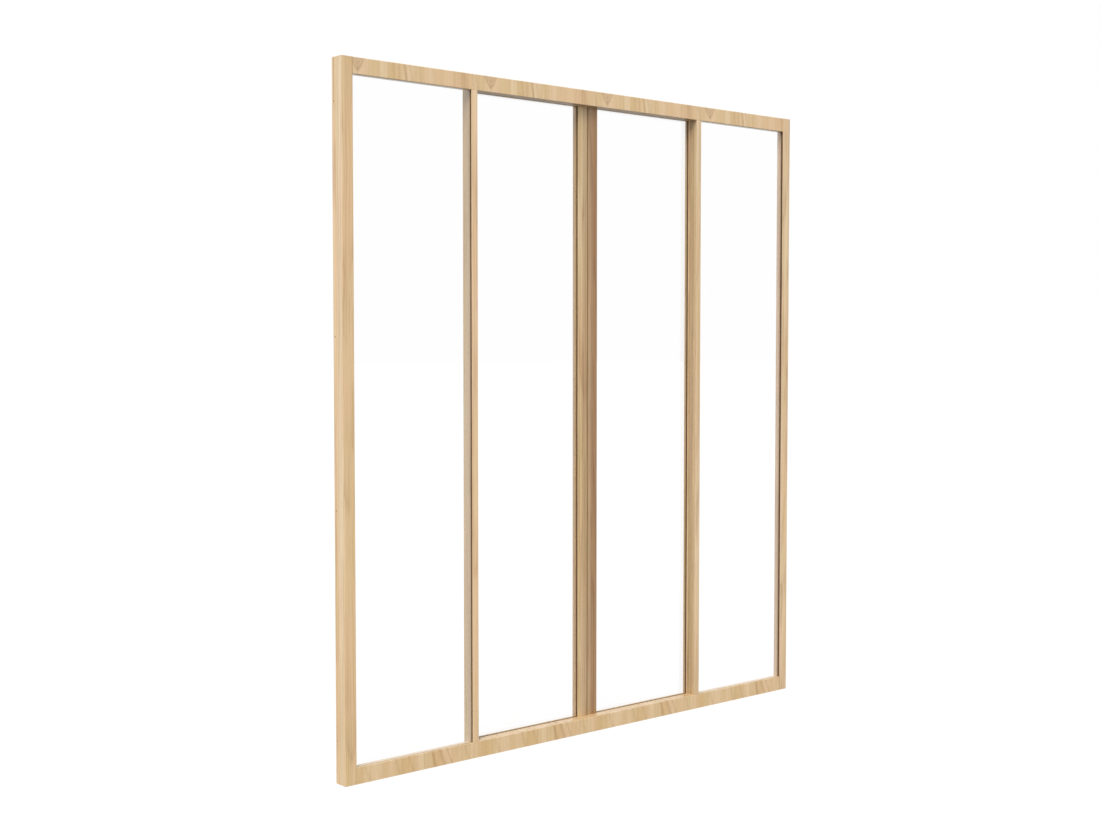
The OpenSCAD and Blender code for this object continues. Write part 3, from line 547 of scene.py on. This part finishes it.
def makeFinish(name, finish):
    material, tree, place = startMaterial(name)
    scale = tuple(1000 / size for size in finish["gritMm"])
    mapped = addNode(tree, "ShaderNodeMapping", {"Scale": scale}, {"Vector": place}).outputs[0]
    noise = addNode(tree, "ShaderNodeTexNoise", {"Scale": 1.0, "Detail": 3.0}, {"Vector": mapped}).outputs[0]
    share = addNode(tree, "ShaderNodeMapRange", span(*grit["colour"]), {0: noise}).outputs[0]
    colour = addNode(tree, "ShaderNodeMix",
                     {"data_type": "RGBA", 6: linear(finish["colour"]), 7: linear(finish["mark"])},
                     {0: share}).outputs[2]
    gloss = addNode(tree, "ShaderNodeMapRange", span(*grit["gloss"], *finish["rough"]),
                    {0: noise}).outputs[0]
    relief = addNode(tree, "ShaderNodeBump",
                     {"Strength": grit["reliefStrength"], "Distance": grit["reliefMm"] / 1000},
                     {"Height": noise}).outputs[0]
    surface = addNode(tree, "ShaderNodeBsdfPrincipled", {"Metallic": finish["metallic"]},
                      {"Base Color": colour, "Roughness": gloss, "Normal": relief})
    addNode(tree, "ShaderNodeOutputMaterial", None, {"Surface": surface.outputs[0]})
    return material


def coatRest():
    materials = {finish["slot"]: makeFinish(name, finish) for name, finish in finishes.items()}
    materials[glass["slot"]] = makeGlass()
    for node in frame["nodes"]:
        if slotOf[node] in materials:
            coat(node, materials[slotOf[node]])
    print("glass, seals and fittings coated")


# Studio: white floor and background, even daylight from above and a low soft sun from the front left
studio = {
    "floorSize": 160,                # metres
    "floorDrop": 0.0003,             # metres, so that the floor and the sill's underside don't touch
    "floorColour": "#9D9D9D",        # gives light back to the undersides
    "floorSeen": "#626262",          # seen directly or in glass: keeps the shadow
    "floorLift": 0.87,               # seen directly or in glass: brings it up to white
    "dayColour": "#FFFFFF",
    "dayLevel": 0.985,
    "sunFrom": (-0.38, -0.26, 0.45),
    "sunSpread": 30,                 # degrees
    "sunLevel": 2.03,
}


# 1 where a surface is seen directly, mirrored or through glass, and 0 for the light that it gives
def seenDirectly(tree):
    path = addNode(tree, "ShaderNodeLightPath").outputs
    first = addNode(tree, "ShaderNodeMath", {"operation": "MAXIMUM"},
                    {0: path["Is Camera Ray"], 1: path["Is Glossy Ray"]}).outputs[0]
    return addNode(tree, "ShaderNodeMath", {"operation": "MAXIMUM"},
                   {0: first, 1: path["Is Transmission Ray"]}).outputs[0]


def makeDaylight():
    world = bpy.data.worlds.new("studio_daylight")
    world.use_nodes = True
    bpy.context.scene.world = world
    tree = world.node_tree
    tree.nodes.clear()
    light = addNode(tree, "ShaderNodeBackground",
                    {"Color": linear(studio["dayColour"]), "Strength": studio["dayLevel"]})
    white = addNode(tree, "ShaderNodeBackground", {"Color": linear("#FFFFFF"), "Strength": 1.0})
    both = addNode(tree, "ShaderNodeMixShader", None,
                   {0: seenDirectly(tree), 1: light.outputs[0], 2: white.outputs[0]})
    addNode(tree, "ShaderNodeOutputWorld", None, {"Surface": both.outputs[0]})


def makeFloor():
    half = studio["floorSize"] / 2
    corners = [(-half, -half, 0), (half, -half, 0), (half, half, 0), (-half, half, 0)]
    mesh = bpy.data.meshes.new("studio_floor")
    mesh.from_pydata(corners, [], [(0, 1, 2, 3)])
    floor = bpy.data.objects.new("studio_floor", mesh)
    floor.location.z = -studio["floorDrop"]
    bpy.context.scene.collection.objects.link(floor)
    material, tree = startMaterial("matt_white_floor")[:2]
    paint = addNode(tree, "ShaderNodeBsdfDiffuse", {"Color": linear(studio["floorColour"])})
    film = addNode(tree, "ShaderNodeBsdfDiffuse", {"Color": linear(studio["floorSeen"])})
    glow = addNode(tree, "ShaderNodeEmission", {"Strength": studio["floorLift"]})
    white = addNode(tree, "ShaderNodeAddShader", None, {0: film.outputs[0], 1: glow.outputs[0]})
    both = addNode(tree, "ShaderNodeMixShader", None,
                   {0: seenDirectly(tree), 1: paint.outputs[0], 2: white.outputs[0]})
    addNode(tree, "ShaderNodeOutputMaterial", None, {"Surface": both.outputs[0]})
    mesh.materials.append(material)


def makeSun():
    sun = bpy.data.lights.new("soft_sun", "SUN")
    sun.angle = math.radians(studio["sunSpread"])
    sun.energy = studio["sunLevel"]
    holder = bpy.data.objects.new("soft_sun", sun)
    holder.rotation_euler = Vector(studio["sunFrom"]).to_track_quat("Z", "Y").to_euler()
    bpy.context.scene.collection.objects.link(holder)


def makeStudio():
    makeDaylight()
    makeFloor()
    makeSun()
    bpy.context.scene.view_settings.view_transform = "Standard"
    print("studio ready")


makeCamera()
coatWood()
coatRest()
makeStudio()
